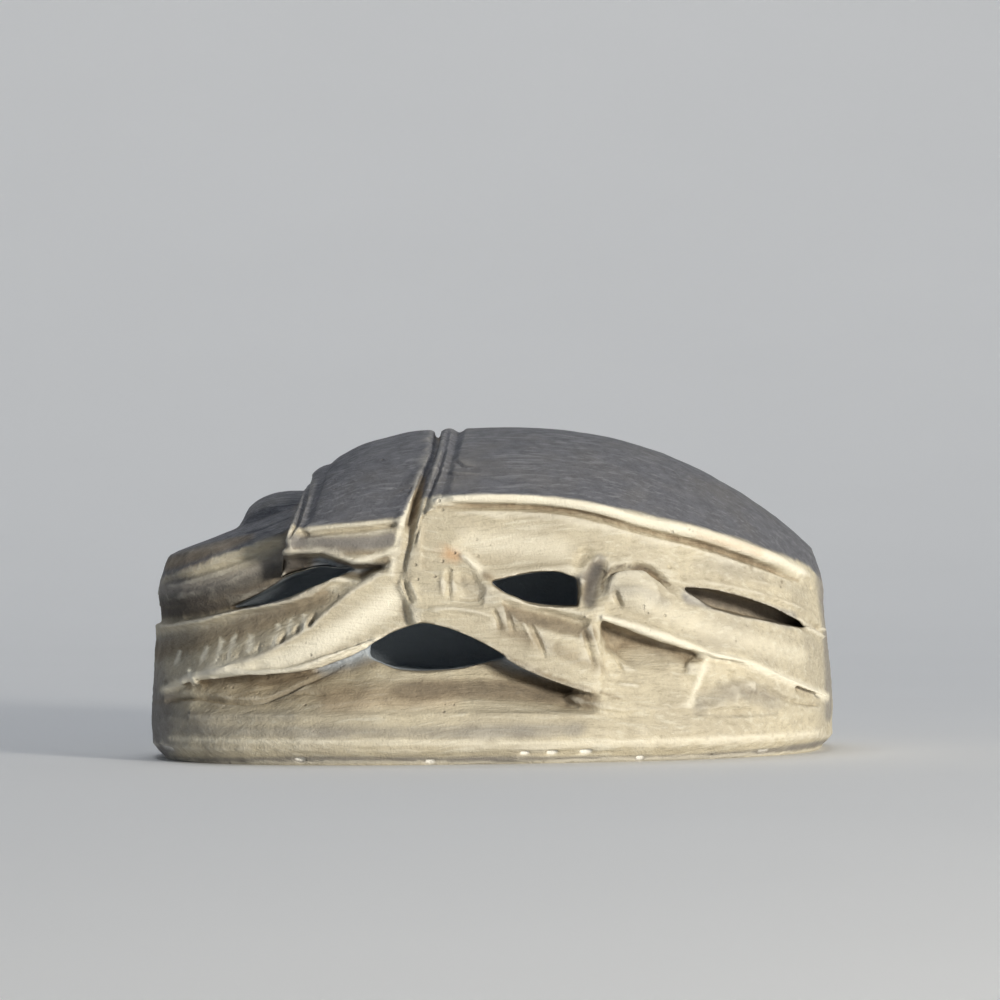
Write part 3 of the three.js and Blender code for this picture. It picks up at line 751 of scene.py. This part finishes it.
def hollow_marks(piece):
    """How shut in each point is, from 0 in the open to 1 deep in a hollow, and how worn or sunk it is."""
    mesh = piece.data
    points, normals, edges = points_of(mesh), normals_of(mesh), edges_of(mesh)
    cast = bvh_of(mesh, points).ray_cast
    rng = np.random.default_rng(3)
    turn = np.arange(RAYS) * math.pi * (3 - math.sqrt(5))
    height = np.sqrt(1 - (np.arange(RAYS) + 0.5) / RAYS)
    flat = np.sqrt(1 - height ** 2)
    fan = np.stack([np.cos(turn) * flat, np.sin(turn) * flat, height], axis=1)
    side = np.cross(normals, np.where(np.abs(normals[:, 2:3]) < 0.9, [[0, 0, 1.0]], [[1.0, 0, 0]]))
    side /= np.linalg.norm(side, axis=1)[:, None]
    other = np.cross(normals, side)
    spin = rng.uniform(0, 2 * math.pi, len(points))
    shut = np.zeros(len(points))
    lifted = points + normals * 0.02
    for x, y, z in fan:
        around_x = x * np.cos(spin) - y * np.sin(spin)
        around_y = x * np.sin(spin) + y * np.cos(spin)
        ways = side * around_x[:, None] + other * around_y[:, None] + normals * z
        found = [cast(p, w, SIGHT)[3] for p, w in zip(lifted.tolist(), ways.tolist())]
        shut += 1 - soft_step(np.array([SIGHT if f is None else f for f in found]), 0.3, SIGHT)
    shut = spread(edges, shut / RAYS, 3)
    even, wide = spread_each(edges, points, 6), spread_each(edges, points, 60)
    worn = spread(edges, np.sum((points - even) * normals, axis=1), 2)
    sunk = spread(edges, np.sum((wide - points) * normals, axis=1), 2)
    return shut, worn, sunk


def keep_mark(mesh, name, values):
    mark = mesh.attributes.new(name, "FLOAT", "POINT")
    mark.data.foreach_set("value", np.ascontiguousarray(values, dtype=np.float32))


def shoulder_height(along):
    """The height of the shoulder line, above which the stone is dark: partly a grey patina, partly painted shade on
    the top.
    """
    return np.interp(along, [-9, -6.2, -5, -4.9, -2.2, -2.0, -1.2, 1.8, 4, 6.4, 8.3, 9],
                     [5.0, 5.6, 6.1, 5.95, 6.2, 6.6, 6.75, 6.65, 6.2, 5.55, 4.75, 3.9])


def age_marks(piece):
    """Marks that the material reads: hollows, worn places, the dark back, which is partly patina and partly painted
    shade, and each kind of side mark, among them painted shade and painted highlights.
    """
    mesh = piece.data
    shut, worn, sunk = hollow_marks(piece)
    points, normals, edges = points_of(mesh), normals_of(mesh), edges_of(mesh)
    above = soft_step(points[:, 2] - shoulder_height(points[:, 0]), -0.12, 0.3)
    upward = soft_step(normals[:, 2], -0.2, 0.5)
    head = soft_step(-points[:, 0], 4.9, 5.3) * soft_step(normals[:, 2], 0.0, 0.6) * soft_step(points[:, 2], 3.6, 4.4)
    # The openings between the legs: above the plate, under the shoulder line, and well in from the oval.
    inward = plate_width(points[:, 0]) - np.abs(points[:, 1])
    between = soft_step(points[:, 2], 1.6, 2.4) * soft_step(shoulder_height(points[:, 0]) - points[:, 2], 0.2, 0.7)
    middle = soft_step(4.2 - points[:, 0], 0, 0.6) * soft_step(points[:, 0] + 8.0, 0, 0.8)
    mouth = 0.85 + 0.9 * soft_step(-points[:, 0] - 4.3, 0, 0.9)
    deep = soft_step(inward - mouth, 0, 1.0) * between * middle * soft_step(shut, 0.04, 0.22)
    around = spread(edges, deep, 30)
    worn = worn - 0.05 * around
    keep_mark(mesh, "deep", spread(edges, deep, 4))
    seen, outer = points[:, [0, 2]], soft_step(SIDE_MARK_DEPTH - inward, 0, 0.6)
    stains_and_painted_light = {kind: np.zeros(len(points)) for kind in SIDE_STAINS_AND_PAINTED_LIGHT}

    def lay_side_mark(kind, path, half_width, strength, edge):
        gap = distance_to_path(seen, path)[0]
        amount = strength * soft_step(1 - gap / half_width, 0, edge) * outer
        np.maximum(stains_and_painted_light[kind], amount, out=stains_and_painted_light[kind])

    for kind, places in SIDE_STAINS_AND_PAINTED_LIGHT.items():
        for *sizes, path in places:
            lay_side_mark(kind, smooth_path(drawn(path)), *drawn(sizes), 0.9)
    # Painted highlights along the toothed marks.
    for tooth in drawn(LEG_TEETH):
        lay_side_mark("pale", tooth - [0.03, 0.0], 0.08, 1.2, 0.7)
    # A soft brown ring round the openings: painted shade.
    np.maximum(stains_and_painted_light["earth_and_shade"], soft_step(around, 0.02, 0.45), out=stains_and_painted_light["earth_and_shade"])
    for kind in ("grey", "earth_and_shade"):
        stains_and_painted_light[kind] *= 1 - 0.8 * np.clip(stains_and_painted_light["pale"], 0, 1)
    for kind, values in stains_and_painted_light.items():
        keep_mark(mesh, kind, values)
    # The top and the head's top are darker: partly a grey patina, partly painted shade on faces turned up.
    keep_mark(mesh, "patina_and_shade", spread(edges, np.maximum(above * upward, spread(edges, head, 12)), 3))
    keep_mark(mesh, "shut_in", shut)
    keep_mark(mesh, "worn", worn)
    keep_mark(mesh, "sunk", sunk)


# ------------ materials

# Linear red, green and blue.
# Some of these tones stand in for light. The pale edge tone is a painted highlight. The two near-black tones are
# painted shade. The cool grey for the openings is painted shade deep in them. The bluish film tones of the back are
# partly patina, partly painted shade and a painted reflection. The earth tones are partly earth and partly painted
# shade.
COLOURS = {
    "cream": (0.62, 0.55, 0.40), "dim cream": (0.52, 0.46, 0.34), "dull cream": (0.39, 0.34, 0.25),
    "scratch": (0.74, 0.70, 0.57), "scratch bed": (0.34, 0.29, 0.20), "pale edge": (0.92, 0.86, 0.70),
    "tan": (0.66, 0.42, 0.23), "film": (0.118, 0.124, 0.150), "dark film": (0.076, 0.081, 0.101),
    "dry film": (0.135, 0.130, 0.130), "scratched film": (0.215, 0.22, 0.24), "smear": (0.25, 0.235, 0.225),
    "dark smear": (0.175, 0.165, 0.16), "earth_and_shade": (0.33, 0.26, 0.17), "dark earth": (0.20, 0.155, 0.10),
    "painted_shade": (0.060, 0.055, 0.054), "pore": (0.16, 0.12, 0.08), "rubbed": (0.84, 0.79, 0.66),
    "chip": (0.88, 0.86, 0.80), "opening": (0.43, 0.48, 0.53), "shut in": (0.06, 0.05, 0.04),
    "paper": (0.86, 0.86, 0.85), "pale paper": (0.89, 0.89, 0.88),
}


class Bench:
    """Lays shader nodes out and joins them."""

    def __init__(self, tree):
        self.nodes, self.links = tree.nodes, tree.links

    def add(self, kind, settings=None, **inputs):
        node = self.nodes.new(kind)
        for name, value in (settings or {}).items():
            setattr(node, name, value)
        for name, value in inputs.items():
            self.put(node.inputs[name], value)
        return node

    def put(self, socket, value):
        if isinstance(value, bpy.types.NodeSocket):
            self.links.new(value, socket)
        else:
            socket.default_value = value

    def maths(self, operation, first, second, clamp=False):
        node = self.add("ShaderNodeMath", {"operation": operation, "use_clamp": clamp})
        self.put(node.inputs[0], first)
        self.put(node.inputs[1], second)
        return node.outputs[0]

    def times(self, first, second):
        return self.maths("MULTIPLY", first, second)

    def plus(self, first, second, clamp=False):
        return self.maths("ADD", first, second, clamp)

    def ranged(self, value, low, high, to_low=0.0, to_high=1.0):
        node = self.add("ShaderNodeMapRange", {"interpolation_type": "SMOOTHSTEP"})
        for socket, amount in zip(node.inputs[:5], (value, low, high, to_low, to_high)):
            self.put(socket, amount)
        return node.outputs[0]

    def mixed(self, factor, *tones):
        """Mixes two colours, each given by its name or by the node that makes it."""
        node = self.add("ShaderNodeMix", {"data_type": "RGBA"}, Factor=factor)
        for key, tone in zip("AB", tones):
            self.put(node.inputs[key], (*COLOURS[tone], 1) if isinstance(tone, str) else tone)
        return node.outputs["Result"]

    def noise(self, place, scale, detail, roughness=0.5):
        return self.add("ShaderNodeTexNoise", Vector=place, Scale=scale, Detail=detail, Roughness=roughness).outputs

    def in_millimetres(self, stretch=(1, 1, 1)):
        place = self.add("ShaderNodeTexCoord").outputs["Object"]
        return self.add("ShaderNodeMapping", Vector=place, Scale=tuple(s / MM for s in stretch)).outputs[0]


def new_material(name):
    """A material, the bench for its nodes and the inputs of its shader."""
    material = bpy.data.materials.new(name)
    material.use_nodes = True
    bench = Bench(material.node_tree)
    return material, bench, bench.nodes["Principled BSDF"].inputs


def new_group(name, setting, value, results):
    """A node group with one setting: the group, its bench, the setting's socket and the sockets of its results."""
    group = bpy.data.node_groups.new(name, "ShaderNodeTree")
    group.interface.new_socket(name=setting, in_out="INPUT", socket_type="NodeSocketFloat").default_value = value
    for result in results:
        group.interface.new_socket(name=result, in_out="OUTPUT", socket_type="NodeSocketFloat")
    bench = Bench(group)
    return group, bench, bench.add("NodeGroupInput").outputs[setting], bench.add("NodeGroupOutput").inputs


def file_scratches():
    """Fine lengthwise scratches left by working the stone: a mask and a height."""
    group, bench, fineness, made = new_group("file scratches", "Fineness", 6.0, ("Height", "Mask"))
    wander = bench.noise(bench.in_millimetres((0.25, 0.25, 0.25)), 1.0, 2.0)["Color"]
    bent = bench.add("ShaderNodeVectorMath", {"operation": "MULTIPLY_ADD"})
    for socket, value in zip(bent.inputs, (wander, (0.0, 0.9, 0.9), bench.in_millimetres((0.07, 1, 1)))):
        bench.put(socket, value)
    lines = bench.noise(bent.outputs[0], fineness, 4.0, 0.65)["Fac"]
    bench.put(made["Height"], lines)
    bench.put(made["Mask"], bench.ranged(lines, 0.52, 0.66))
    return group


def stone_pores():
    """Small pores and a fine grain."""
    group, bench, size, made = new_group("stone pores", "Size", 3.0, ("Height", "Pores"))
    place = bench.in_millimetres()
    cells = bench.add("ShaderNodeTexVoronoi", Vector=place, Scale=size).outputs["Distance"]
    where = bench.noise(place, 0.7, 2.0)["Fac"]
    pores = bench.times(bench.ranged(cells, 0.20, 0.08), bench.ranged(where, 0.54, 0.68))
    grain = bench.noise(place, 16.0, 4.0, 0.6)["Fac"]
    bench.put(made["Height"], bench.maths("SUBTRACT", bench.times(grain, 0.6), pores))
    bench.put(made["Pores"], pores)
    return group


def pale_stone():
    """Cream stone with a dark back that is partly patina and partly painted shade, earth and painted shade in its
    hollows, painted highlights and paler worn ridges.
    """
    material, bench, skin = new_material("pale_stone")
    marks = ("shut_in", "worn", "sunk", "patina_and_shade", "deep", "chipped", "grey", "earth_and_shade", "tan", "pale", "dark")
    shut, worn, sunk, patina_and_shade, deep, chipped, grey_film_and_shade, earth_and_shade_marks, tan, pale, shade_marks = (
        bench.add("ShaderNodeAttribute", {"attribute_name": name}).outputs["Fac"] for name in marks)
    scratches = bench.add("ShaderNodeGroup", {"node_tree": file_scratches()}, Fineness=8.5).outputs
    pores = bench.add("ShaderNodeGroup", {"node_tree": stone_pores()}, Size=3.6).outputs
    clouds = bench.noise(bench.in_millimetres(), 0.55, 5.0, 0.6)["Fac"]
    mottle = bench.noise(bench.in_millimetres(), 3.2, 5.0, 0.7)["Fac"]
    uneven = bench.times(bench.maths("SUBTRACT", clouds, 0.5), 0.6)

    # The bare stone, with its scratches, painted highlights on ridges and bright faces, and places stained tan.
    cream = bench.mixed(bench.ranged(clouds, 0.35, 0.65), "cream", "dim cream")
    cream = bench.mixed(bench.ranged(mottle, 0.45, 0.75, 0, 0.6), cream, "dull cream")
    cream = bench.mixed(bench.times(scratches["Mask"], 0.45), cream, "scratch")
    cream = bench.mixed(bench.ranged(scratches["Height"], 0.46, 0.34, 0, 0.42), cream, "scratch bed")
    cream = bench.mixed(bench.times(pale, 0.85), cream, "pale edge")
    cream = bench.mixed(bench.times(tan, 0.75), cream, "tan")

    # The dark grey of the back, partly a grey patina and partly painted shade with a painted bluish reflection; and a
    # grey film on the side that is partly painted shade.
    grey = bench.mixed(bench.ranged(mottle, 0.35, 0.7), "film", "dark film")
    grey = bench.mixed(bench.ranged(clouds, 0.42, 0.72, 0, 0.6), grey, "dry film")
    grey = bench.mixed(bench.times(scratches["Mask"], 0.75), grey, "scratched film")
    cover = bench.ranged(bench.plus(patina_and_shade, uneven), 0.25, 0.65)
    film = bench.ranged(bench.plus(grey_film_and_shade, bench.times(uneven, 0.8)), 0.2, 1.0, 0, 0.85)
    body = bench.mixed(bench.times(cover, 0.94), cream, grey)
    body = bench.mixed(film, body, bench.mixed(mottle, "smear", "dark smear"))

    # Brown in the hollows, by how shut in and sunk a point is, and brown strokes over the side: partly earth and
    # partly painted shade. Then dark painted shade from the dark kind of side mark.
    earth_and_shade = bench.mixed(bench.ranged(mottle, 0.3, 0.7), "earth_and_shade", "dark earth")
    earth_and_hollow_shade = bench.plus(bench.ranged(shut, 0.28, 0.75, 0, 0.9), bench.ranged(sunk, 0.02, 0.14, 0, 0.5), clamp=True)
    earth_and_hollow_shade = bench.times(earth_and_hollow_shade, bench.ranged(clouds, 0.2, 0.55, 0.55, 1.0))
    smeared = bench.ranged(bench.plus(earth_and_shade_marks, bench.times(uneven, 1.2)), 0.15, 1.0, 0, 0.85)
    earth_and_hollow_shade = bench.times(bench.maths("MAXIMUM", earth_and_hollow_shade, smeared), bench.ranged(film, 0.1, 0.75, 1.0, 0.55))
    body = bench.mixed(earth_and_hollow_shade, body, earth_and_shade)
    # Painted shade, from the dark kind of side mark.
    painted_shade = bench.ranged(bench.plus(shade_marks, bench.times(uneven, 0.6)), 0.1, 1.0, 0, 0.85)
    body = bench.mixed(painted_shade, body, "painted_shade")

    # Pores, rubbed ridges and fresh chips; then painted shade: a cool grey deep in the openings and near black where
    # a point is most shut in.
    body = bench.mixed(bench.times(pores["Pores"], 0.35), body, "pore")
    rubbed = bench.times(bench.ranged(worn, 0.006, 0.026, 0, 0.5), bench.ranged(cover, 0, 1, 1, 0.35))
    body = bench.mixed(rubbed, body, "rubbed")
    body = bench.mixed(bench.ranged(chipped, 0.1, 0.5, 0, 0.9), body, "chip")
    body = bench.mixed(bench.ranged(deep, 0.1, 0.8, 0, 0.97), body, "opening")
    body = bench.mixed(bench.ranged(shut, 0.86, 1.0, 0, 0.7), body, "shut in")
    bench.put(skin["Base Color"], body)

    rough = bench.ranged(mottle, 0.3, 0.7, 0.52, 0.70)
    bench.put(skin["Roughness"], bench.plus(rough, bench.times(earth_and_hollow_shade, 0.2), clamp=True))
    height = bench.plus(bench.times(scratches["Height"], 0.8), bench.times(pores["Height"], 0.8))
    bump = bench.add("ShaderNodeBump", Strength=0.7, Distance=0.00008, Height=height)
    bench.put(skin["Normal"], bump.outputs["Normal"])
    return material


def plain_paper():
    material, bench, skin = new_material("plain_paper")
    skin["Roughness"].default_value = 0.9
    fibre = bench.noise(bench.add("ShaderNodeTexCoord").outputs["Object"], 60, 2.0)["Fac"]
    bench.put(skin["Base Color"], bench.mixed(fibre, "paper", "pale paper"))
    return material


# ------------ the set

# How the floor's back edge goes on, step by step, in metres: level, then up in a soft bend.
FLOOR_STEPS = ((0, 0.10, 0), (0, 0.06, 0), (0, 0.08, 0), (0, 0.09, 0), (0, 0.12, 0.05), (0, 0.11, 0.16),
               (0, 0.02, 0.30), (0, 0, 0.40))


def make_floor():
    """A pale floor that rises behind the stone in one soft bend, level under the stone itself."""
    bpy.ops.mesh.primitive_plane_add(size=1, location=(0, 0, 0))
    floor = bpy.context.object
    floor.name = "floor"
    bpy.ops.transform.resize(value=(1.8, 0.3, 1))
    bpy.ops.transform.translate(value=(0, -0.35, 0))
    bpy.ops.object.transform_apply(location=True, rotation=True, scale=True)
    bpy.ops.object.mode_set(mode="EDIT")
    bpy.ops.mesh.select_mode(type="EDGE")
    bpy.ops.mesh.select_all(action="DESELECT")
    bpy.ops.object.mode_set(mode="OBJECT")
    for edge in floor.data.edges:
        edge.select = all(floor.data.vertices[v].co.y > -0.21 for v in edge.vertices)
    bpy.ops.object.mode_set(mode="EDIT")
    for step in FLOOR_STEPS:
        bpy.ops.mesh.extrude_region_move(TRANSFORM_OT_translate={"value": step})
    bpy.ops.object.mode_set(mode="OBJECT")
    finish_with(floor, "SUBSURF", levels=5)
    pick_only(floor)
    bpy.ops.object.shade_smooth()
    floor.data.materials.append(plain_paper())


def make_camera():
    """The photograph's view: level with the upper part of the stone, straight at its near side, turned a little."""
    data = bpy.data.cameras.new("view")
    data.sensor_width, data.lens = 36, 176.4
    data.clip_start, data.clip_end = 0.005, 5
    camera = put_in_scene(bpy.data.objects.new("view", data))
    beside, away, height, turn = 0.28, 130, 6.675, 0.8  # millimetres, and degrees
    camera.location = (beside * MM, -away * MM, height * MM)
    camera.rotation_euler = (math.pi / 2, math.radians(turn), 0)
    bpy.context.scene.camera = camera


def soft_light(name, place, target, size, power, colour):
    data = bpy.data.lights.new(name, "AREA")
    data.shape, data.size, data.energy, data.color = "DISK", size, power, colour
    lamp = put_in_scene(bpy.data.objects.new(name, data))
    lamp.location = place
    lamp.rotation_euler = (Vector(target) - Vector(place)).to_track_quat("-Z", "Y").to_euler()


def make_lights():
    """A low soft key from the front and right, a faint one from above, one on the backdrop and a dim surround."""
    middle, backdrop = (0, 0, 0.004), (0, 0.38, 0.10)
    soft_light("low_key", (0.105, -0.145, 0.026), middle, 0.035, 0.335, (1.0, 0.955, 0.865))
    soft_light("top_fill", (-0.03, 0.02, 0.22), middle, 0.14, 0.055, (0.84, 0.91, 1.0))
    soft_light("backdrop_light", (0, 0.09, 0.35), backdrop, 0.25, 0.38, (1.0, 1.0, 1.0))
    world = bpy.data.worlds.new("surround")
    world.use_nodes = True
    back = world.node_tree.nodes["Background"]
    back.inputs["Color"].default_value = (0.74, 0.83, 1.0, 1)
    back.inputs["Strength"].default_value = 0.15
    bpy.context.scene.world = world
    bpy.context.scene.view_settings.view_transform = "Standard"


# ------------ making it

def make_scarab():
    piece = rough_out(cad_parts["scarab"], "scarab_stone")
    add_edges_and_fills(piece)
    finish_with(piece, "REMESH", mode="VOXEL", voxel_size=GRAIN_STEP, adaptivity=0)
    work_away_facets(piece)
    carve(piece)
    fit_to_model(piece)
    thin_out(piece)
    fit_to_model(piece)
    age_marks(piece)
    piece.data.transform(Matrix.Scale(MM, 4))
    pick_only(piece)
    bpy.ops.object.shade_smooth()
    piece.data.materials.clear()
    piece.data.materials.append(pale_stone())
    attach(piece, "root")
    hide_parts("scarab")


make_floor()
make_camera()
make_lights()
make_scarab()
